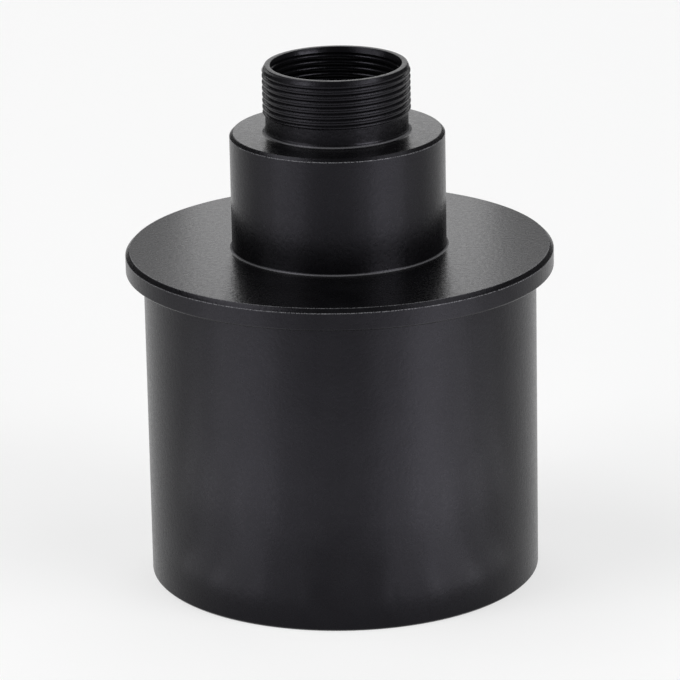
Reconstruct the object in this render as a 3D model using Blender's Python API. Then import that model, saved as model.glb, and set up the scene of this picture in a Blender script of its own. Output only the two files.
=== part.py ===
"""Adapter that puts a board camera where a telescope's eyepiece goes.

One turned piece of black anodised aluminium, standing on the open end of its barrel. From the
bottom up: a hollow barrel that slides into a focuser, a flange that stops it there, a neck, and
a spigot that carries a fine thread for the camera's lens mount. A bore runs right through.

Metres, +Z up. The turning axis is Z, and the barrel's open end lies on Z = 0.
"""

import math
from dataclasses import dataclass
from enum import Enum

import bmesh
import bpy

# Barrel, made to slide into a 1.25 inch focuser
BARREL_DIAMETER = 0.03175
BARREL_LENGTH = 0.0255
BARREL_END_CHAMFER = 0.00018
BARREL_WALL = 0.002175
BARREL_BORE_FILLET = 0.0008

# Filter seat in the barrel's mouth: the crests of a female thread, and the groove it runs out into
FILTER_SEAT_WALL = 0.001925
FILTER_THREAD_LENGTH = 0.0045
FILTER_THREAD_LEAD_IN = 0.0004
FILTER_GROOVE_DEPTH = 0.00045
FILTER_GROOVE_WIDTH = 0.001

# Flange that stops the barrel at the focuser's rim
FLANGE_OVERHANG = 0.001425
FLANGE_THICKNESS = 0.0018
FLANGE_TOP_CHAMFER = 0.00034
FLANGE_UNDER_CHAMFER = 0.00013
FLANGE_WEB = 0.0024

# Neck above the flange
NECK_DIAMETER = 0.01733
NECK_LENGTH = 0.0096
NECK_CHAMFER = 0.00027
NECK_FILLET = 0.0002

# Spigot above the neck: a fine male thread, and the groove under it that lets it run out
THREAD_DIAMETER = 0.0119
THREAD_LENGTH = 0.00394
THREAD_LEAD_IN_DEPTH = 0.00024
THREAD_LEAD_IN_LENGTH = 0.00044
THREAD_END_CHAMFER = 0.00012
THREAD_GROOVE_DEPTH = 0.00021
THREAD_GROOVE_WIDTH = 0.00157
THREAD_GROOVE_FILLET = 0.00025

# Bore that the light passes through, with the wall that it leaves inside the spigot's groove
SPIGOT_WALL = 0.00059
LIGHT_BORE_MOUTH_FLARE = 0.00014
LIGHT_BORE_MOUTH_LENGTH = 0.0006
LIGHT_BORE_INNER_CHAMFER = 0.0005

# How finely round forms are divided
TURNING_STEPS = 96
FILLET_STEPS = 3
SHARP_EDGE_ANGLE = math.radians(25.0)

# Black anodising over blasted aluminium
ANODISED_COLOUR = (0.016, 0.016, 0.018, 1.0)
ANODISED_ROUGHNESS = 0.38
ANODISED_METALLIC = 0.0


class Edge(Enum):
    """How the edge at a corner of the section is finished."""

    SHARP = "sharp"
    CHAMFER = "chamfer"
    FILLET = "fillet"


@dataclass(frozen=True)
class Corner:
    """A corner of the half section: its radius, its height and the finish of its edge.

    A chamfer whose legs differ gives the one towards the next corner as ahead_size.
    """

    radius: float
    height: float
    edge: Edge = Edge.SHARP
    size: float = 0.0
    ahead_size: float = 0.0

    def towards(self, other):
        """Unit direction from this corner to another."""
        run = (other.radius - self.radius, other.height - self.height)
        length = math.hypot(*run)
        return (run[0] / length, run[1] / length)

    def finished(self, before, after):
        """Points (radius, height) that stand for this corner, met from before and left to after."""
        if self.edge is Edge.SHARP:
            return [(self.radius, self.height)]
        back = self.towards(before)
        ahead = self.towards(after)
        if self.edge is Edge.CHAMFER:
            return [
                (self.radius + leg * side[0], self.height + leg * side[1])
                for leg, side in ((self.size, back), (self.ahead_size or self.size, ahead))
            ]
        return self.rounded(back, ahead)

    def rounded(self, back, ahead):
        """Points along the arc of radius size that touches both sides of the corner."""
        half_angle = 0.5 * math.acos(back[0] * ahead[0] + back[1] * ahead[1])
        middle = (back[0] + ahead[0], back[1] + ahead[1])
        reach = self.size / math.sin(half_angle) / math.hypot(*middle)
        centre = (self.radius + reach * middle[0], self.height + reach * middle[1])
        touch = self.size / math.tan(half_angle)
        start = (
            self.radius + touch * back[0] - centre[0],
            self.height + touch * back[1] - centre[1],
        )
        turn = math.copysign(
            math.pi - 2.0 * half_angle,
            back[1] * ahead[0] - back[0] * ahead[1],
        )
        points = []
        for step in range(FILLET_STEPS + 1):
            angle = turn * step / FILLET_STEPS
            points.append(
                (
                    centre[0] + start[0] * math.cos(angle) - start[1] * math.sin(angle),
                    centre[1] + start[0] * math.sin(angle) + start[1] * math.cos(angle),
                )
            )
        return points


def spigot_groove_radius():
    """Radius at the bottom of the groove under the male thread."""
    return THREAD_DIAMETER / 2.0 - THREAD_GROOVE_DEPTH


def outside():
    """Corners of the outer side, from the rim down to the barrel's open end."""
    barrel_radius = BARREL_DIAMETER / 2.0
    flange_radius = barrel_radius + FLANGE_OVERHANG
    flange_top = BARREL_LENGTH + FLANGE_THICKNESS
    neck_radius = NECK_DIAMETER / 2.0
    neck_top = flange_top + NECK_LENGTH
    thread_radius = THREAD_DIAMETER / 2.0
    thread_bottom = neck_top + THREAD_GROOVE_WIDTH
    groove_radius = spigot_groove_radius()
    return [
        Corner(
            thread_radius, rim_height(), Edge.CHAMFER, THREAD_LEAD_IN_DEPTH, THREAD_LEAD_IN_LENGTH
        ),
        Corner(thread_radius, thread_bottom, Edge.CHAMFER, THREAD_END_CHAMFER),
        Corner(groove_radius, thread_bottom),
        Corner(groove_radius, neck_top, Edge.FILLET, THREAD_GROOVE_FILLET),
        Corner(neck_radius, neck_top, Edge.CHAMFER, NECK_CHAMFER),
        Corner(neck_radius, flange_top, Edge.FILLET, NECK_FILLET),
        Corner(flange_radius, flange_top, Edge.CHAMFER, FLANGE_TOP_CHAMFER),
        Corner(flange_radius, BARREL_LENGTH, Edge.CHAMFER, FLANGE_UNDER_CHAMFER),
        Corner(barrel_radius, BARREL_LENGTH),
        Corner(barrel_radius, 0.0, Edge.CHAMFER, BARREL_END_CHAMFER),
    ]


def inside():
    """Corners of the hollow, from the barrel's open end up to the rim."""
    barrel_radius = BARREL_DIAMETER / 2.0
    thread_radius = barrel_radius - FILTER_SEAT_WALL
    groove_radius = thread_radius + FILTER_GROOVE_DEPTH
    groove_top = FILTER_THREAD_LENGTH + FILTER_GROOVE_WIDTH
    bore_radius = barrel_radius - BARREL_WALL
    ceiling = BARREL_LENGTH + FLANGE_THICKNESS - FLANGE_WEB
    light_radius = spigot_groove_radius() - SPIGOT_WALL
    return [
        Corner(thread_radius, 0.0, Edge.CHAMFER, FILTER_THREAD_LEAD_IN),
        Corner(thread_radius, FILTER_THREAD_LENGTH),
        Corner(groove_radius, FILTER_THREAD_LENGTH),
        Corner(groove_radius, groove_top),
        Corner(bore_radius, groove_top),
        Corner(bore_radius, ceiling, Edge.FILLET, BARREL_BORE_FILLET),
        Corner(light_radius, ceiling, Edge.CHAMFER, LIGHT_BORE_INNER_CHAMFER),
        Corner(
            light_radius, rim_height(), Edge.CHAMFER, LIGHT_BORE_MOUTH_LENGTH, LIGHT_BORE_MOUTH_FLARE
        ),
    ]


def rim_height():
    """Height of the spigot's rim above the barrel's open end."""
    below_spigot = BARREL_LENGTH + FLANGE_THICKNESS + NECK_LENGTH
    return below_spigot + THREAD_GROOVE_WIDTH + THREAD_LENGTH


def half_section():
    """The closed half section as points (radius, height), down the outside and up the inside."""
    corners = outside() + inside()
    points = []
    for place, corner in enumerate(corners):
        before = corners[place - 1]
        after = corners[(place + 1) % len(corners)]
        points.extend(corner.finished(before, after))
    return points


def turned_mesh(name, section):
    """Turn a closed half section once round Z."""
    bm = bmesh.new()
    verts = [bm.verts.new((radius, 0.0, height)) for radius, height in section]
    edges = [bm.edges.new(ends) for ends in zip(verts, verts[1:] + verts[:1])]
    bmesh.ops.spin(
        bm,
        geom=verts + edges,
        cent=(0.0, 0.0, 0.0),
        axis=(0.0, 0.0, 1.0),
        dvec=(0.0, 0.0, 0.0),
        angle=math.tau,
        steps=TURNING_STEPS,
        use_merge=True,
    )
    bmesh.ops.recalc_face_normals(bm, faces=bm.faces)
    mesh = bpy.data.meshes.new(name)
    bm.to_mesh(mesh)
    bm.free()
    mesh.shade_smooth()
    mesh.set_sharp_from_angle(angle=SHARP_EDGE_ANGLE)
    return mesh


def anodised_aluminium():
    """Satin black anodising: a dark dyed layer that shines softly at a low angle."""
    material = bpy.data.materials.new("black_anodised_aluminium")
    material.use_nodes = True
    shader = material.node_tree.nodes["Principled BSDF"]
    shader.inputs["Base Color"].default_value = ANODISED_COLOUR
    shader.inputs["Roughness"].default_value = ANODISED_ROUGHNESS
    shader.inputs["Metallic"].default_value = ANODISED_METALLIC
    return material


def empty_scene():
    """Remove what the scene starts with."""
    for thing in list(bpy.data.objects):
        bpy.data.objects.remove(thing, do_unlink=True)


def main():
    """Build the adapter."""
    empty_scene()
    mesh = turned_mesh("adapter_body", half_section())
    mesh.materials.append(anodised_aluminium())
    adapter = bpy.data.objects.new("adapter_body", mesh)
    bpy.context.collection.objects.link(adapter)


main()
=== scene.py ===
"""Looks of the adapter that puts a board camera where a telescope's eyepiece goes.

One turned piece of black anodised aluminium stands on the open end of its barrel: barrel, stop
flange, neck, and a spigot with a fine male thread. The light bore, the filter seat and all three
threads are cut in the mesh, as the lathe cuts them.
"""

import logging
import math
from dataclasses import dataclass, field
from enum import Enum

import bmesh
import bpy
from mathutils import Matrix, Vector


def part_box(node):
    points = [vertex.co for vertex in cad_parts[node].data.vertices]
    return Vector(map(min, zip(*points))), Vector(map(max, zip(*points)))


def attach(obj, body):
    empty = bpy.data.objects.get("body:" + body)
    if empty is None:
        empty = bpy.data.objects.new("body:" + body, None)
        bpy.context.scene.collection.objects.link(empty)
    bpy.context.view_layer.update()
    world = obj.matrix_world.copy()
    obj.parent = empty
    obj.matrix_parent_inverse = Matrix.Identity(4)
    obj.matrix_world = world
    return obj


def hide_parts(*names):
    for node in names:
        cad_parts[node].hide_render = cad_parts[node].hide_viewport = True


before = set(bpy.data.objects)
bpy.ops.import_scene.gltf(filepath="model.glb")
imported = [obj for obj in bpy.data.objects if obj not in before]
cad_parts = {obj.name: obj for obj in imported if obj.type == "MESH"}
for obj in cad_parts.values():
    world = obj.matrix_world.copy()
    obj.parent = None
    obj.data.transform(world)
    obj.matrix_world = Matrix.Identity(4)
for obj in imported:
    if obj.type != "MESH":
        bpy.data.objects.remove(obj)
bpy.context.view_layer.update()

log = logging.getLogger("adapter")

# Red, green, blue and opacity, and circles about the axis as (radius, height)
Colour = tuple[float, float, float, float]
Circles = tuple[tuple[float, float], ...]

MM = 0.001

# How finely round forms are divided, and how near to each other points count as one
TURNING_STEPS = 180
HALF_STEP = math.pi / TURNING_STEPS
SAME_PLACE = 0.001 * MM
WELD = 0.0003 * MM

# The least upward part of a level face's normal, and the least angle at an edge shaded sharp
LEVEL_NORMAL = 0.9
SHARP_ANGLE = math.radians(28.0)

# Sockets of a Mix node that mixes colours
MIX_SHARE = 0
MIX_FIRST = 6
MIX_SECOND = 7
MIX_RESULT = 2


class EdgeBreak(Enum):
    """How an edge of the turned blank is finished, with the number of facets that it gets."""

    CHAMFER = 1
    FILLET = 6


@dataclass(frozen=True)
class Ring:
    """A circle on the turned blank that an edge tool follows.

    Args:
        radius: radius of the circle, in metres.
        height: height above the barrel's open end, in metres.
        kind: chamfer or fillet.
        size: leg of the chamfer or radius of the fillet, in metres.
    """

    radius: float
    height: float
    kind: EdgeBreak
    size: float


def deselect_all() -> None:
    """Leave object mode with nothing selected."""
    if bpy.context.object and bpy.context.object.mode != "OBJECT":
        bpy.ops.object.mode_set(mode="OBJECT")
    bpy.ops.object.select_all(action="DESELECT")


def take_up(piece: bpy.types.Object) -> None:
    """Make one object the selected and active one.

    Args:
        piece: the object to work on.
    """
    deselect_all()
    piece.select_set(True)
    bpy.context.view_layer.objects.active = piece


def select_top(piece: bpy.types.Object, height: float) -> None:
    """Select, in edit mode, the level faces at a height that look up.

    Args:
        piece: the mesh in edit mode.
        height: height of the faces, in metres.
    """
    bpy.ops.mesh.select_all(action="DESELECT")
    bpy.ops.mesh.select_mode(type="FACE")
    mesh = bmesh.from_edit_mesh(piece.data)
    mesh.normal_update()
    for face in mesh.faces:
        there = abs(face.calc_center_median().z - height) < SAME_PLACE
        face.select_set(there and face.normal.z > LEVEL_NORMAL)
    bmesh.update_edit_mesh(piece.data)


def select_circle(piece: bpy.types.Object, radius: float, height: float) -> None:
    """Select, in edit mode, the edges that run round one circle about the axis.

    Args:
        piece: the mesh in edit mode.
        radius: radius of the circle, in metres.
        height: height of the circle, in metres.
    """
    bpy.ops.mesh.select_all(action="DESELECT")
    bpy.ops.mesh.select_mode(type="EDGE")
    mesh = bmesh.from_edit_mesh(piece.data)
    for edge in mesh.edges:
        on_circle = all(
            abs(vert.co.z - height) < SAME_PLACE
            and abs(math.hypot(vert.co.x, vert.co.y) - radius) < SAME_PLACE
            for vert in edge.verts
        )
        edge.select_set(on_circle)
    bmesh.update_edit_mesh(piece.data)


def select_open_edges() -> None:
    """Select, in edit mode, the edges that belong to one face only."""
    bpy.ops.mesh.select_all(action="DESELECT")
    bpy.ops.mesh.select_mode(type="EDGE")
    bpy.ops.mesh.select_non_manifold(
        extend=False, use_wire=False, use_boundary=True, use_multi_face=False,
        use_non_contiguous=False, use_verts=False,
    )


@dataclass(frozen=True)
class Helix:
    """A vee groove that a threading tool cuts round the axis.

    Args:
        name: name of the cutter while it exists.
        wall: radius of the wall that the groove opens on, in metres.
        root: radius at the bottom of the groove, in metres.
        pitch: rise in one turn, in metres.
        start: height of the groove's middle where its first turn starts, in metres.
        turns: number of whole turns.
        root_flat: width of the flat at the bottom of the groove, in metres.
        crest_round: radius that the crest's edges are rounded to, in metres.
        clearance: how far the tool stands out of the metal, in metres.
        flank_angle: half the angle between the flanks, in radians.
        round_steps: number of facets on a rounded edge.
    """

    name: str
    wall: float
    root: float
    pitch: float
    start: float
    turns: int
    root_flat: float
    crest_round: float
    clearance: float = 0.003 * MM
    flank_angle: float = math.radians(30.0)
    round_steps: int = 3

    def outwards(self) -> float:
        """Give 1 for a male thread, whose tool stands outside the wall, and -1 for a female one."""
        return math.copysign(1.0, self.wall - self.root)

    def profile(self) -> list[tuple[float, float]]:
        """Work out the tool's section.

        Returns:
            Points (radius, height above the groove's middle), from below to above.
        """
        side = self.outwards()
        turned = math.pi / 2.0 - self.flank_angle
        depth = abs(self.wall - self.root) - self.crest_round * (1.0 - math.cos(turned))
        flank_end = self.root_flat / 2.0 + depth * math.tan(self.flank_angle)
        above = [(self.root, self.root_flat / 2.0)]
        for step in range(self.round_steps):
            angle = turned * (1.0 - step / self.round_steps)
            above.append((
                self.wall - side * self.crest_round * (1.0 - math.cos(angle)),
                flank_end + self.crest_round * (math.sin(turned) - math.sin(angle)),
            ))
        slope = 1.0 / math.tan(turned / self.round_steps / 2.0)
        inmost, rise = above[-1]
        outer = self.wall + side * self.clearance
        above.append((outer, rise + abs(outer - inmost) * slope))
        below = [(radius, -rise) for radius, rise in reversed(above)]
        return below[:-1] + above if self.root_flat == 0.0 else below + above

    def build(self) -> bpy.types.Object:
        """Model the space that the tool sweeps.

        Returns:
            A closed helical bar, whose section is the tool's.
        """
        corners = self.profile()
        deselect_all()
        bpy.ops.mesh.primitive_circle_add(
            vertices=len(corners),
            radius=self.clearance,
            fill_type="NOTHING",
            location=(self.wall, 0.0, self.start),
        )
        bar = bpy.context.object
        bar.name = self.name
        bpy.ops.object.transform_apply(location=True, rotation=False, scale=False)
        for vert, (radius, rise) in zip(bar.data.vertices, corners):
            vert.co = Vector((
                radius * math.cos(HALF_STEP), radius * math.sin(HALF_STEP), self.start + rise,
            ))
        screw = bar.modifiers.new("tool path", "SCREW")
        screw.angle = math.tau
        screw.steps = TURNING_STEPS
        screw.render_steps = TURNING_STEPS
        screw.screw_offset = self.pitch
        screw.iterations = self.turns
        screw.use_merge_vertices = False
        bpy.ops.object.modifier_apply(modifier=screw.name)
        bpy.ops.object.mode_set(mode="EDIT")
        select_open_edges()
        bpy.ops.mesh.edge_face_add()
        bpy.ops.mesh.select_all(action="SELECT")
        bpy.ops.mesh.normals_make_consistent(inside=False)
        bpy.ops.object.mode_set(mode="OBJECT")
        return bar


def cut(piece: bpy.types.Object, tool: bpy.types.Object) -> None:
    """Take the tool's space out of a piece, and put the tool away.

    Args:
        piece: the mesh that loses metal.
        tool: the closed mesh of the space that it loses.
    """
    take_up(piece)
    taken = piece.modifiers.new("cut", "BOOLEAN")
    taken.operation = "DIFFERENCE"
    taken.solver = "EXACT"
    taken.object = tool
    bpy.ops.object.modifier_apply(modifier=taken.name)
    bpy.data.objects.remove(tool, do_unlink=True)
    bpy.ops.object.mode_set(mode="EDIT")
    bpy.ops.mesh.select_all(action="SELECT")
    bpy.ops.mesh.remove_doubles(threshold=WELD)
    bpy.ops.mesh.dissolve_degenerate(threshold=WELD)
    bpy.ops.mesh.delete_loose(use_verts=True, use_edges=True, use_faces=False)
    bpy.ops.object.mode_set(mode="OBJECT")


@dataclass
class TurnedAdapter:
    """The adapter's one piece, turned from bar. Sizes are in metres, and the angle in radians."""

    barrel_radius: float = 15.875 * MM
    barrel_length: float = 25.5 * MM
    barrel_end_chamfer: float = 0.18 * MM
    barrel_bore_radius: float = 13.7 * MM
    barrel_bore_fillet: float = 0.8 * MM
    filter_seat_radius: float = 13.95 * MM
    filter_thread_length: float = 4.5 * MM
    filter_lead_in: float = 0.4 * MM
    filter_groove_radius: float = 14.4 * MM
    filter_groove_width: float = 1.0 * MM
    flange_thickness: float = 1.8 * MM
    flange_top_chamfer: float = 0.34 * MM
    flange_under_chamfer: float = 0.13 * MM
    flange_web: float = 2.4 * MM
    neck_radius: float = 8.665 * MM
    neck_length: float = 9.6 * MM
    neck_chamfer: float = 0.27 * MM
    neck_fillet: float = 0.2 * MM
    spigot_radius: float = 5.95 * MM
    spigot_groove_radius: float = 5.74 * MM
    spigot_groove_width: float = 1.57 * MM
    spigot_groove_fillet: float = 0.38 * MM
    spigot_lead_in_depth: float = 0.24 * MM
    spigot_lead_in_length: float = 0.44 * MM
    spigot_end_chamfer: float = 0.12 * MM
    light_bore_radius: float = 5.15 * MM
    light_bore_mouth_flare: float = 0.14 * MM
    light_bore_mouth_length: float = 0.6 * MM
    light_bore_inner_chamfer: float = 0.5 * MM
    edge_softening: float = 0.042 * MM
    edge_softening_facets: int = 3
    edge_softening_angle: float = math.radians(30.0)
    spigot_thread_pitch: float = 0.5 * MM
    spigot_thread_turns: int = 9
    spigot_thread_root_step: float = 0.005 * MM
    spigot_thread_run_in: float = 0.44 * MM
    filter_thread_pitch: float = 0.6 * MM
    filter_thread_turns: int = 9
    filter_thread_root_radius: float = 14.27 * MM
    filter_thread_run_in: float = 0.65 * MM
    bore_groove_pitch: float = 0.5 * MM
    bore_groove_turns: int = 34
    bore_groove_depth: float = 0.22 * MM
    bore_groove_end: float = 0.17 * MM
    flange_radius: float = field(init=False)
    rim_height: float = field(init=False)

    def __post_init__(self) -> None:
        """Take the overall sizes from the frame."""
        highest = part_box("adapter_body")[1]
        self.flange_radius = highest.x
        self.rim_height = highest.z

    @property
    def flange_top(self) -> float:
        """Height of the flange's top face."""
        return self.barrel_length + self.flange_thickness

    @property
    def neck_top(self) -> float:
        """Height of the neck's top face, where the camera seats."""
        return self.flange_top + self.neck_length

    @property
    def ceiling(self) -> float:
        """Height of the web that closes the barrel's hollow."""
        return self.flange_top - self.flange_web

    def path(self) -> list[tuple[float, float]]:
        """List where a disc travels to leave the turned form behind it.

        Returns:
            Points (radius, height), from the barrel's upper edge over the rim and down inside.
        """
        spigot_start = self.neck_top + self.spigot_groove_width
        seat_groove_top = self.filter_thread_length + self.filter_groove_width
        rim_outer = self.spigot_radius - self.spigot_lead_in_depth
        rim_inner = self.light_bore_radius + self.light_bore_mouth_flare
        return [
            (self.barrel_radius, self.barrel_length),
            (self.flange_radius, self.barrel_length),
            (self.flange_radius, self.flange_top),
            (self.neck_radius, self.flange_top),
            (self.neck_radius, self.neck_top),
            (self.spigot_groove_radius, self.neck_top),
            (self.spigot_groove_radius, spigot_start),
            (self.spigot_radius, spigot_start),
            (self.spigot_radius, self.rim_height - self.spigot_lead_in_length),
            (rim_outer, self.rim_height),
            (rim_inner, self.rim_height),
            (self.light_bore_radius, self.rim_height - self.light_bore_mouth_length),
            (self.light_bore_radius, self.ceiling),
            (self.barrel_bore_radius, self.ceiling),
            (self.barrel_bore_radius, seat_groove_top),
            (self.filter_groove_radius, seat_groove_top),
            (self.filter_groove_radius, self.filter_thread_length),
            (self.filter_seat_radius, self.filter_thread_length),
            (self.filter_seat_radius, 0.0),
        ]

    def turn_blank(self) -> bpy.types.Object:
        """Model the turned form without its edges broken.

        Returns:
            The blank, a closed ring-shaped mesh.
        """
        deselect_all()
        bpy.ops.mesh.primitive_cylinder_add(
            vertices=TURNING_STEPS,
            radius=self.barrel_radius,
            depth=self.barrel_length,
            end_fill_type="NGON",
            location=(0.0, 0.0, self.barrel_length / 2.0),
        )
        blank = bpy.context.object
        blank.name = "adapter_turned"
        bpy.ops.object.transform_apply(location=True, rotation=False, scale=False)
        bpy.ops.object.mode_set(mode="EDIT")
        select_top(blank, self.barrel_length)
        path = self.path()
        for (radius, height), (next_radius, next_height) in zip(path, path[1:]):
            rise = next_height - height
            share = next_radius / radius
            bpy.ops.mesh.extrude_region_move(TRANSFORM_OT_translate={"value": (0.0, 0.0, rise)})
            bpy.ops.transform.resize(
                value=(share, share, 1.0), center_override=(0.0, 0.0, next_height)
            )
        self.open_barrel(blank)
        return blank

    def open_barrel(self, blank: bpy.types.Object) -> None:
        """Take the two discs off the barrel's end and join their rims by a flat ring.

        Args:
            blank: the mesh in edit mode.
        """
        bpy.ops.mesh.select_all(action="DESELECT")
        mesh = bmesh.from_edit_mesh(blank.data)
        for face in mesh.faces:
            face.select_set(len(face.verts) == TURNING_STEPS)
        bmesh.update_edit_mesh(blank.data)
        bpy.ops.mesh.delete(type="ONLY_FACE")
        select_open_edges()
        bpy.ops.mesh.bridge_edge_loops()

    def rings(self) -> list[Ring]:
        """List the edges that the tool breaks.

        Returns:
            The rings, from the thread's end down the outside and back up the inside.
        """
        chamfer = EdgeBreak.CHAMFER
        fillet = EdgeBreak.FILLET
        groove_top = self.neck_top + self.spigot_groove_width
        return [
            Ring(self.spigot_radius, groove_top, chamfer, self.spigot_end_chamfer),
            Ring(self.spigot_groove_radius, self.neck_top, fillet, self.spigot_groove_fillet),
            Ring(self.neck_radius, self.neck_top, chamfer, self.neck_chamfer),
            Ring(self.neck_radius, self.flange_top, fillet, self.neck_fillet),
            Ring(self.flange_radius, self.flange_top, chamfer, self.flange_top_chamfer),
            Ring(self.flange_radius, self.barrel_length, chamfer, self.flange_under_chamfer),
            Ring(self.barrel_radius, 0.0, chamfer, self.barrel_end_chamfer),
            Ring(self.filter_seat_radius, 0.0, chamfer, self.filter_lead_in),
            Ring(self.barrel_bore_radius, self.ceiling, fillet, self.barrel_bore_fillet),
            Ring(self.light_bore_radius, self.ceiling, chamfer, self.light_bore_inner_chamfer),
        ]

    def break_edges(self, blank: bpy.types.Object) -> None:
        """Cut the chamfers and fillets, then soften what is still sharp as blasting does.

        Args:
            blank: the mesh in edit mode.
        """
        for ring in self.rings():
            select_circle(blank, ring.radius, ring.height)
            bpy.ops.mesh.bevel(
                offset=ring.size,
                offset_type="OFFSET",
                segments=ring.kind.value,
                profile=0.5,
                affect="EDGES",
            )
        bpy.ops.mesh.select_all(action="SELECT")
        bpy.ops.mesh.normals_make_consistent(inside=False)
        bpy.ops.object.mode_set(mode="OBJECT")
        soften = blank.modifiers.new("softened edges", "BEVEL")
        soften.width = self.edge_softening
        soften.segments = self.edge_softening_facets
        soften.limit_method = "ANGLE"
        soften.angle_limit = self.edge_softening_angle
        bpy.ops.object.modifier_apply(modifier=soften.name)

    def glint_edges(self) -> Circles:
        """List the circles where glints are painted, as bright spots, along the chamfer edges.

        Returns:
            Points (radius, height) at the neck's chamfer and both edges of the flange's.
        """
        neck, flange = self.neck_chamfer, self.flange_top_chamfer
        return (
            (self.neck_radius, self.neck_top - neck),
            (self.flange_radius - flange, self.flange_top),
            (self.flange_radius, self.flange_top - flange),
        )

    def highlight_fillets(self) -> Circles:
        """List the circles along the fillets where a highlight line is painted.

        Returns:
            Points (radius, height) on the fillets at the neck's and the spigot's foot.
        """
        # A fillet's middle lies this share of its radius outside the wall and above the face
        middle = 1.0 - math.sqrt(0.5)
        neck, spigot = self.neck_fillet * middle, self.spigot_groove_fillet * middle
        return (
            (self.neck_radius + neck, self.flange_top + neck),
            (self.spigot_groove_radius + spigot, self.neck_top + spigot),
        )

    def helices(self) -> list[Helix]:
        """List the grooves that the threading tools cut.

        Returns:
            The male thread, the filter thread and the bore's fine grooves.
        """
        bore_grooves_length = self.bore_groove_turns * self.bore_groove_pitch
        return [
            Helix(
                name="lens_mount_thread",
                wall=self.spigot_radius,
                root=self.spigot_groove_radius + self.spigot_thread_root_step,
                pitch=self.spigot_thread_pitch,
                start=self.neck_top + self.spigot_groove_width - self.spigot_thread_run_in,
                turns=self.spigot_thread_turns,
                root_flat=0.12 * MM,
                crest_round=0.075 * MM,
            ),
            Helix(
                name="filter_thread",
                wall=self.filter_seat_radius,
                root=self.filter_thread_root_radius,
                pitch=self.filter_thread_pitch,
                start=-self.filter_thread_run_in,
                turns=self.filter_thread_turns,
                root_flat=0.075 * MM,
                crest_round=0.06 * MM,
            ),
            Helix(
                name="bore_grooves",
                wall=self.light_bore_radius,
                root=self.light_bore_radius + self.bore_groove_depth,
                pitch=self.bore_groove_pitch,
                start=self.rim_height - self.bore_groove_end - bore_grooves_length,
                turns=self.bore_groove_turns,
                root_flat=0.0,
                crest_round=0.075 * MM,
                round_steps=1,
            ),
        ]

    def build(self) -> bpy.types.Object:
        """Turn the blank, break its edges and cut its threads.

        Returns:
            The finished mesh, without its finish.
        """
        piece = self.turn_blank()
        self.break_edges(piece)
        for helix in self.helices():
            cut(piece, helix.build())
            log.info("%s cut: %d faces", helix.name, len(piece.data.polygons))
        take_up(piece)
        bpy.ops.object.shade_smooth_by_angle(angle=SHARP_ANGLE)
        flats = piece.modifiers.new("flat faces", "WEIGHTED_NORMAL")
        flats.mode = "FACE_AREA"
        flats.weight = 100
        flats.keep_sharp = True
        bpy.ops.object.modifier_apply(modifier=flats.name)
        return piece


def add_noise(
    tree: bpy.types.NodeTree,
    place: bpy.types.NodeSocket,
    size: float,
    detail: float,
    roughness: float = 0.5,
) -> bpy.types.NodeSocket:
    """Add a noise that runs right through a piece.

    Args:
        tree: the material's nodes.
        place: socket that gives the piece's own coordinates.
        size: distance from one spot to the next, in metres.
        detail: number of finer layers on top of the first.
        roughness: how strongly the finer layers show.

    Returns:
        Socket that gives the noise, mostly between 0.3 and 0.7.
    """
    noise = tree.nodes.new("ShaderNodeTexNoise")
    noise.inputs["Scale"].default_value = 1.0 / size
    noise.inputs["Detail"].default_value = detail
    noise.inputs["Roughness"].default_value = roughness
    tree.links.new(place, noise.inputs["Vector"])
    return noise.outputs["Fac"]


def add_range(
    tree: bpy.types.NodeTree,
    value: bpy.types.NodeSocket,
    given: tuple[float, float],
    wanted: tuple[float, float] = (0.0, 1.0),
) -> bpy.types.NodeSocket:
    """Stretch one range of values to another, and stop at its two ends.

    Args:
        tree: the material's nodes.
        value: socket of the value.
        given: the two values that become the wanted ones.
        wanted: the two values that they become.

    Returns:
        Socket that gives the stretched value.
    """
    stretch = tree.nodes.new("ShaderNodeMapRange")
    stretch.inputs["From Min"].default_value, stretch.inputs["From Max"].default_value = given
    stretch.inputs["To Min"].default_value, stretch.inputs["To Max"].default_value = wanted
    tree.links.new(value, stretch.inputs["Value"])
    return stretch.outputs["Result"]


def add_math(
    tree: bpy.types.NodeTree,
    operation: str,
    first: bpy.types.NodeSocket,
    second: bpy.types.NodeSocket | float,
) -> bpy.types.NodeSocket:
    """Work one value out from two.

    Args:
        tree: the material's nodes.
        operation: Blender's name for what is done with them.
        first: socket of the first value.
        second: socket of the second value, or the value itself.

    Returns:
        Socket that gives the result.
    """
    outcome = tree.nodes.new("ShaderNodeMath")
    outcome.operation = operation
    tree.links.new(first, outcome.inputs[0])
    if isinstance(second, float):
        outcome.inputs[1].default_value = second
    else:
        tree.links.new(second, outcome.inputs[1])
    return outcome.outputs["Value"]


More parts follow.
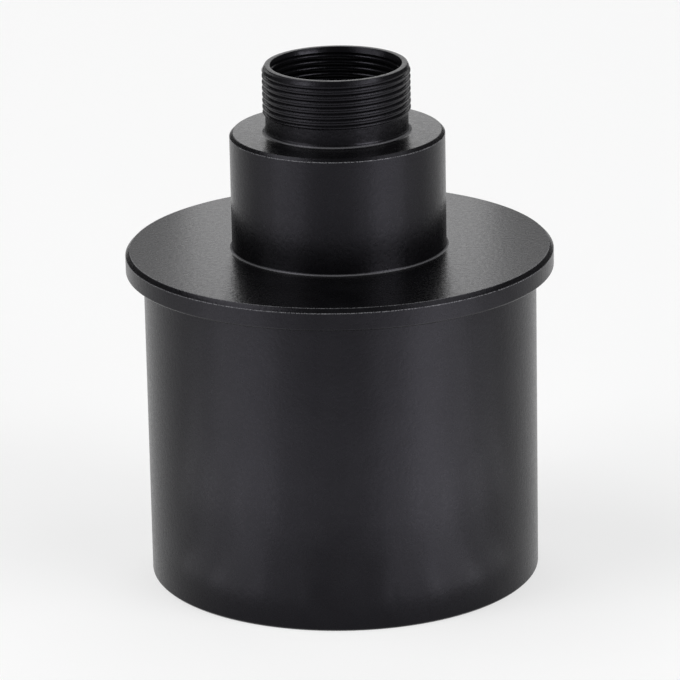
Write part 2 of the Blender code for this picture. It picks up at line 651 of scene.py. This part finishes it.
@dataclass(frozen=True)
class BlackAnodising:
    """Dyed anodising over a fine bead blast: nearly black, satin, with a grain of tiny pits, and
    painted highlights along some edges and fillets.

    Args:
        glint_edges: circles (radius, height) where glints are painted as bright spots, in metres.
        highlight_fillets: circles (radius, height) on fillets where a highlight line is painted, in
            metres.
        dye: colour of the dyed layer where it is deepest.
        thin_dye: colour where the layer is thinner.
        dye_patch: distance between the patches where it is thinner, in metres.
        dye_range: values of the patches' noise where the two colours are reached.
        tint: colour of what the layer reflects straight on.
        roughness: mean roughness of the layer.
        roughness_spread: how far the roughness strays from its mean.
        satin_range: values of the hollows' noise where it has strayed so far.
        gloss: share of the full dielectric reflection that the porous layer gives.
        grain_size: distance between the blast's pits, in metres.
        grain_depth: depth of the pits, in metres.
        ripple_size: distance between the softer hollows below the pits, in metres.
        ripple_depth: depth of those hollows, in metres.
        glint_reach: how far from such a circle the painted glints reach, in metres.
        glint_spot_size: distance between the painted glint spots, in metres.
        glint_range: values of the spots' noise where the painted glint is absent and where it is
            full.
        highlight_colour: colour of the painted highlights, a light grey.
        highlight_reach: how far from a fillet's circle the painted highlight line reaches, in
            metres.
        highlight_share: how strongly the painted highlight line shows over the dye.
    """

    glint_edges: Circles
    highlight_fillets: Circles
    dye: Colour = (0.0023, 0.0022, 0.0026, 1.0)
    thin_dye: Colour = (0.0037, 0.0036, 0.0042, 1.0)
    dye_patch: float = 2.5 * MM
    dye_range: tuple[float, float] = (0.35, 0.7)
    tint: Colour = (0.881, 0.855, 1.0, 1.0)
    roughness: float = 0.28
    roughness_spread: float = 0.03
    satin_range: tuple[float, float] = (0.3, 0.7)
    gloss: float = 0.155
    grain_size: float = 0.08 * MM
    grain_depth: float = 0.003 * MM
    ripple_size: float = 0.35 * MM
    ripple_depth: float = 0.011 * MM
    # Painted glints along the chamfer edges, and a painted highlight line in the foot fillets
    glint_reach: float = 0.055 * MM
    glint_spot_size: float = 0.08 * MM
    glint_range: tuple[float, float] = (0.36, 0.62)
    highlight_colour: Colour = (0.17, 0.17, 0.18, 1.0)
    highlight_reach: float = 0.11 * MM
    highlight_share: float = 0.5

    def nearness(
        self,
        tree: bpy.types.NodeTree,
        place: bpy.types.NodeSocket,
        circles: Circles,
        reach: float,
    ) -> bpy.types.NodeSocket:
        """Work out, in nodes, how near a point of the surface is to the nearest circle.

        Args:
            tree: the material's nodes.
            place: socket that gives the piece's own coordinates.
            circles: the circles (radius, height), in metres. There is at least one.
            reach: distance at which the value has dropped to 0, in metres.

        Returns:
            Socket that gives 1 on a circle and 0 away from all of them.
        """
        nodes, link = tree.nodes, tree.links.new
        flat = nodes.new("ShaderNodeVectorMath")
        flat.operation = "MULTIPLY"
        flat.inputs[1].default_value = (1.0, 1.0, 0.0)
        link(place, flat.inputs[0])
        radius = nodes.new("ShaderNodeVectorMath")
        radius.operation = "LENGTH"
        link(flat.outputs["Vector"], radius.inputs[0])
        parts = nodes.new("ShaderNodeSeparateXYZ")
        link(place, parts.inputs["Vector"])
        section = nodes.new("ShaderNodeCombineXYZ")
        link(radius.outputs["Value"], section.inputs["X"])
        link(parts.outputs["Z"], section.inputs["Y"])
        nearest = None
        for circle_radius, circle_height in circles:
            away = nodes.new("ShaderNodeVectorMath")
            away.operation = "DISTANCE"
            away.inputs[1].default_value = (circle_radius, circle_height, 0.0)
            link(section.outputs["Vector"], away.inputs[0])
            distance = away.outputs["Value"]
            if nearest is None:
                nearest = distance
            else:
                nearest = add_math(tree, "MINIMUM", nearest, distance)
        return add_range(tree, nearest, (reach, 0.0))

    def painted_highlights(
        self, tree: bpy.types.NodeTree, place: bpy.types.NodeSocket
    ) -> bpy.types.NodeSocket:
        """Work out, in nodes, where highlights are painted into the colour.

        Args:
            tree: the material's nodes.
            place: socket that gives the piece's own coordinates.

        Returns:
            Socket that gives 0 for the plain dye and 1 for the full painted highlight.
        """
        spots = add_noise(tree, place, self.glint_spot_size, detail=1.0)
        glint_spots = add_range(tree, spots, self.glint_range)
        edges = self.nearness(tree, place, self.glint_edges, self.glint_reach)
        # Painted glints, in spots along the chamfer edges
        glints = add_math(tree, "MULTIPLY", edges, glint_spots)
        fillets = self.nearness(tree, place, self.highlight_fillets, self.highlight_reach)
        # A painted highlight line along the foot fillets
        fillet_highlights = add_math(tree, "MULTIPLY", fillets, self.highlight_share)
        return add_math(tree, "MAXIMUM", glints, fillet_highlights)

    def build(self) -> bpy.types.Material:
        """Make the material.

        Returns:
            The material, with its colour, roughness and grain from its nodes.
        """
        material = bpy.data.materials.new("black_anodised_aluminium")
        material.use_nodes = True
        tree = material.node_tree
        nodes, link = tree.nodes, tree.links.new
        shader = nodes["Principled BSDF"]
        shader.inputs["Metallic"].default_value = 0.0
        shader.inputs["Specular IOR Level"].default_value = self.gloss
        shader.inputs["Specular Tint"].default_value = self.tint
        place = nodes.new("ShaderNodeTexCoord").outputs["Object"]

        dyes = nodes.new("ShaderNodeValToRGB")
        deep, thin = dyes.color_ramp.elements
        deep.position, thin.position = self.dye_range
        deep.color, thin.color = self.dye, self.thin_dye
        link(add_noise(tree, place, self.dye_patch, detail=4.0), dyes.inputs["Fac"])
        # The dye, with painted highlights mixed over it
        colour = nodes.new("ShaderNodeMix")
        colour.data_type = "RGBA"
        colour.inputs[MIX_SECOND].default_value = self.highlight_colour
        link(self.painted_highlights(tree, place), colour.inputs[MIX_SHARE])
        link(dyes.outputs["Color"], colour.inputs[MIX_FIRST])
        link(colour.outputs[MIX_RESULT], shader.inputs["Base Color"])

        hollows = add_noise(tree, place, self.ripple_size, detail=1.0)
        smoothest = self.roughness - self.roughness_spread
        roughest = self.roughness + self.roughness_spread
        satin = add_range(tree, hollows, self.satin_range, (smoothest, roughest))
        link(satin, shader.inputs["Roughness"])

        pits = add_noise(tree, place, self.grain_size, detail=2.0, roughness=0.6)
        soft = nodes.new("ShaderNodeBump")
        soft.inputs["Distance"].default_value = self.ripple_depth
        link(hollows, soft.inputs["Height"])
        fine = nodes.new("ShaderNodeBump")
        fine.inputs["Distance"].default_value = self.grain_depth
        link(pits, fine.inputs["Height"])
        link(soft.outputs["Normal"], fine.inputs["Normal"])
        link(fine.outputs["Normal"], shader.inputs["Normal"])
        return material


@dataclass
class SoftBox:
    """A soft lamp, which the camera doesn't see.

    Args:
        name: name of the lamp.
        place: where its middle is, in metres.
        aim: the point that it faces, in metres.
        width: its width, in metres.
        height: its height, in metres.
        radiance: how bright its face is, where 1 is white.
        turn: how far it is turned about the direction it faces, in radians.
    """

    name: str
    place: tuple[float, float, float]
    aim: tuple[float, float, float]
    width: float
    height: float
    radiance: float
    turn: float = 0.0

    def build(self) -> bpy.types.Object:
        """Put the lamp up.

        Returns:
            The lamp.
        """
        lamp = bpy.data.lights.new(self.name, "AREA")
        lamp.shape = "RECTANGLE"
        lamp.size = self.width
        lamp.size_y = self.height
        lamp.energy = self.radiance * math.pi * self.width * self.height
        box = bpy.data.objects.new(self.name, lamp)
        box.visible_camera = False
        bpy.context.collection.objects.link(box)
        towards = Vector(self.aim) - Vector(self.place)
        facing = towards.to_track_quat("-Z", "Y").to_matrix().to_4x4()
        placed = Matrix.Translation(Vector(self.place))
        box.matrix_world = placed @ facing @ Matrix.Rotation(self.turn, 4, "Z")
        return box


@dataclass(frozen=True)
class MattTable:
    """A matt white table top, which a camera sees nearly white and with a soft shadow.

    Args:
        colour: colour of the top.
        roughness: roughness of the top.
        glow: share of plain white in what the camera and the reflections see.
    """

    colour: Colour = (0.9, 0.9, 0.9, 1.0)
    roughness: float = 0.9
    glow: float = 0.6

    def build(self) -> bpy.types.Material:
        """Make the material.

        Returns:
            The material, a matt colour mixed with white for the rays that look at it.
        """
        material = bpy.data.materials.new("matt_white_table")
        material.use_nodes = True
        tree = material.node_tree
        nodes, link = tree.nodes, tree.links.new
        shader = nodes["Principled BSDF"]
        shader.inputs["Base Color"].default_value = self.colour
        shader.inputs["Roughness"].default_value = self.roughness
        shader.inputs["Specular IOR Level"].default_value = 0.0
        white = nodes.new("ShaderNodeEmission")
        rays = nodes.new("ShaderNodeLightPath")
        seen = rays.outputs["Is Camera Ray"]
        for kind in ("Is Glossy Ray", "Is Transmission Ray"):
            seen = add_math(tree, "ADD", seen, rays.outputs[kind])
        mixed = nodes.new("ShaderNodeMixShader")
        link(add_math(tree, "MULTIPLY", seen, self.glow), mixed.inputs["Fac"])
        link(shader.outputs["BSDF"], mixed.inputs[1])
        link(white.outputs["Emission"], mixed.inputs[2])
        link(mixed.outputs["Shader"], nodes["Material Output"].inputs["Surface"])
        return material


@dataclass(frozen=True)
class CardRing:
    """Bright cards that lie side by side on the table, in an arc before the adapter.

    Two bright strips run outwards over the rings, one to the left and one to the right.

    Args:
        near: distance from the axis to the cards' near ends, in metres.
        far: distance from the axis to their far ends, in metres.
        between: how bright a card away from both strips is, where 1 is white.
        left: how much brighter the left strip's middle is.
        right: how much brighter the right strip's middle is.
    """

    near: float
    far: float
    between: float
    left: float
    right: float


@dataclass
class Studio:
    """The plain table, the soft light and the camera.

    Args:
        table_width: width of the table, in metres.
        surround: how bright the room is all round, where 1 is white.
        lamp_distance: distance from the adapter to the far soft boxes, in metres.
        lamp_aim: height of the point that they face, in metres.
        card_bearings: directions of the cards, in degrees from the front towards +X.
        card_share: width of a card as a share of its distance from the axis.
        card_height: height of the cards above the table, in metres.
        left_strip: direction of the left strip in the nearest ring, in degrees.
        right_strip: direction of the right strip there, in degrees.
        strip_drift: how far both strips move to their side from ring to ring, in degrees.
        strip_spread: how far from its middle a strip has dropped to about a third, in degrees.
        sensor_width: width of the camera's sensor, in millimetres.
        image_side: side of the photograph, in pixels.
        focal_pixels: focal length, in pixels of the photograph.
        distance: distance from the camera to its target, in metres.
        elevation: angle at which it looks down, in radians.
        roll: how far it is turned about its own axis, in radians.
        target: the point that the middle of the picture shows, in metres.
        clip_start: distance from which the camera sees, in metres.
    """

    table_width: float = 4.0
    surround: float = 0.1
    lamp_distance: float = 1.5
    lamp_aim: float = 20.0 * MM
    card_bearings: tuple[float, ...] = (
        -80.0, -62.0, -44.0, -26.0, -8.0, 8.0, 26.0, 44.0, 62.0, 80.0,
    )
    card_share: float = 0.32
    card_height: float = 0.6 * MM
    left_strip: float = -45.0
    right_strip: float = 40.0
    strip_drift: float = 4.0
    strip_spread: float = 21.0
    sensor_width: float = 36.0
    image_side: float = 680.0
    focal_pixels: float = 4745.3
    distance: float = 0.38575
    elevation: float = math.radians(18.073)
    roll: float = math.radians(-1.138)
    target: tuple[float, float, float] = (-0.104 * MM, 0.0, 19.180 * MM)
    clip_start: float = 0.01

    def lay_table(self) -> bpy.types.Object:
        """Lay the pale table that the adapter stands on.

        Returns:
            The table top.
        """
        deselect_all()
        bpy.ops.mesh.primitive_plane_add(size=self.table_width, location=(0.0, 0.0, 0.0))
        table = bpy.context.object
        table.name = "table"
        table.data.materials.append(MattTable().build())
        return table

    def light(self) -> None:
        """Light the room evenly and put up the soft boxes."""
        world = bpy.data.worlds.new("studio")
        world.use_nodes = True
        backdrop = world.node_tree.nodes["Background"]
        backdrop.inputs["Color"].default_value = (1.0, 1.0, 1.0, 1.0)
        backdrop.inputs["Strength"].default_value = self.surround
        bpy.context.scene.world = world
        for box in self.soft_boxes():
            box.build()

    def far_box(
        self, name: str, azimuth: float, elevation: float, width: float, height: float,
        radiance: float,
    ) -> SoftBox:
        """Stand a soft box at the lamps' distance, facing the adapter.

        Args:
            name: name of the lamp.
            azimuth: its direction, in degrees from the front towards +X.
            elevation: its height above the table, in degrees.
            width: its width, in metres.
            height: its height, in metres.
            radiance: how bright its face is.

        Returns:
            The soft box.
        """
        round_way, up_way = math.radians(azimuth), math.radians(elevation)
        reach = self.lamp_distance * math.cos(up_way)
        place = (
            reach * math.sin(round_way),
            -reach * math.cos(round_way),
            self.lamp_aim + self.lamp_distance * math.sin(up_way),
        )
        return SoftBox(name, place, (0.0, 0.0, self.lamp_aim), width, height, radiance)

    def card(self, name: str, azimuth: float, ring: CardRing, radiance: float) -> SoftBox:
        """Lay a bright card on the table, pointing at the adapter's axis.

        Args:
            name: name of the card.
            azimuth: its direction, in degrees from the front towards +X.
            ring: the ring that it lies in.
            radiance: how bright its face is.

        Returns:
            The card, as a soft box that faces up.
        """
        round_way = math.radians(azimuth)
        middle = (ring.near + ring.far) / 2.0
        x, y = middle * math.sin(round_way), -middle * math.cos(round_way)
        return SoftBox(
            name,
            place=(x, y, self.card_height),
            aim=(x, y, 1.0),
            width=middle * self.card_share,
            height=ring.far - ring.near,
            radiance=radiance,
            turn=-round_way,
        )

    def card_rings(self) -> list[CardRing]:
        """List the rings of cards before the adapter, from the nearest out.

        Returns:
            The rings, whose brightness gives the barrel its soft bands.
        """
        return [
            CardRing(20.0 * MM, 36.0 * MM, between=0.0, left=1.3, right=2.0),
            CardRing(36.0 * MM, 66.0 * MM, between=0.8, left=1.8, right=2.9),
            CardRing(66.0 * MM, 120.0 * MM, between=0.2, left=2.2, right=3.0),
            CardRing(120.0 * MM, 200.0 * MM, between=0.0, left=2.1, right=2.5),
        ]

    def card_radiance(self, azimuth: float, ring: CardRing, place: int) -> float:
        """Work out how bright a card is from how near it lies to the two strips.

        Args:
            azimuth: the card's direction, in degrees from the front towards +X.
            ring: the ring that it lies in.
            place: the ring's place from the nearest out, which is 0.

        Returns:
            How bright its face is, where 1 is white.
        """
        drift = place * self.strip_drift
        off_left = (azimuth - self.left_strip + drift) / self.strip_spread
        off_right = (azimuth - self.right_strip - drift) / self.strip_spread
        left = ring.left * math.exp(-off_left * off_left)
        right = ring.right * math.exp(-off_right * off_right)
        return ring.between + left + right

    def soft_boxes(self) -> list[SoftBox]:
        """List the lamps.

        Returns:
            The soft boxes, and the cards on the table that the barrel reflects.
        """
        lamps = [
            self.far_box("left_low_box", -66.0, 8.0, 1.20, 0.40, 3.7),
            self.far_box("right_low_box", 50.0, 8.0, 0.90, 0.40, 12.0),
            self.far_box("left_box", -50.0, 24.0, 0.73, 0.42, 2.7),
            self.far_box("left_side_box", -80.0, 26.0, 0.60, 0.42, 0.7),
            self.far_box("left_high_box", -62.0, 40.0, 0.60, 0.35, 6.3),
            self.far_box("right_high_box", 62.0, 40.0, 0.60, 0.35, 6.2),
            self.far_box("front_left_box", -40.0, 40.0, 0.50, 0.35, 0.3),
            self.far_box("front_right_box", 40.0, 40.0, 0.50, 0.35, 2.7),
            self.far_box("left_top_box", -90.0, 58.0, 0.85, 0.60, 3.8),
            self.far_box("right_top_box", 90.0, 58.0, 0.85, 0.60, 2.0),
            self.far_box("back_high_box", 180.0, 40.0, 1.20, 0.40, 1.8),
            self.far_box("back_box", 180.0, 24.0, 1.58, 0.42, 1.4),
            SoftBox(
                "back_card",
                place=(0.0, 45.0 * MM, 42.0 * MM),
                aim=(0.0, 0.0, 30.0 * MM),
                width=28.0 * MM,
                height=22.0 * MM,
                radiance=1.2,
            ),
        ]
        for place, ring in enumerate(self.card_rings()):
            for azimuth in self.card_bearings:
                name = f"card_{place + 1}_{azimuth:.0f}"
                radiance = self.card_radiance(azimuth, ring, place)
                lamps.append(self.card(name, azimuth, ring, radiance))
        return lamps

    def place_camera(self) -> bpy.types.Object:
        """Put the camera where the photograph was taken from.

        Returns:
            The camera.
        """
        camera = bpy.data.cameras.new("camera")
        camera.sensor_width = self.sensor_width
        camera.lens = self.focal_pixels / self.image_side * self.sensor_width
        camera.clip_start = self.clip_start
        eye = bpy.data.objects.new("camera", camera)
        bpy.context.collection.objects.link(eye)
        back = Vector((0.0, -math.cos(self.elevation), math.sin(self.elevation)))
        turned = Matrix.Rotation(math.pi / 2.0 - self.elevation, 4, "X")
        rolled = Matrix.Rotation(self.roll, 4, "Z")
        place = Matrix.Translation(Vector(self.target) + back * self.distance)
        eye.matrix_world = place @ turned @ rolled
        bpy.context.scene.camera = eye
        return eye

    def build(self) -> None:
        """Set the studio up round the adapter."""
        self.lay_table()
        self.light()
        self.place_camera()
        bpy.context.scene.view_settings.view_transform = "Standard"


def main() -> None:
    """Build the adapter and its studio, and report each piece."""
    logging.basicConfig(level=logging.INFO, format="%(name)s: %(message)s")
    studio = Studio()
    studio.build()
    log.info("studio set up")
    turned = TurnedAdapter()
    adapter = turned.build()
    adapter.data.materials.clear()
    # The finish paints highlights along the circles that the turned form lists
    finish = BlackAnodising(
        glint_edges=turned.glint_edges(), highlight_fillets=turned.highlight_fillets()
    )
    adapter.data.materials.append(finish.build())
    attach(adapter, "root")
    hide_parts("adapter_body")
    log.info("%s: %d faces", adapter.name, len(adapter.data.polygons))


if __name__ == "__main__":
    main()
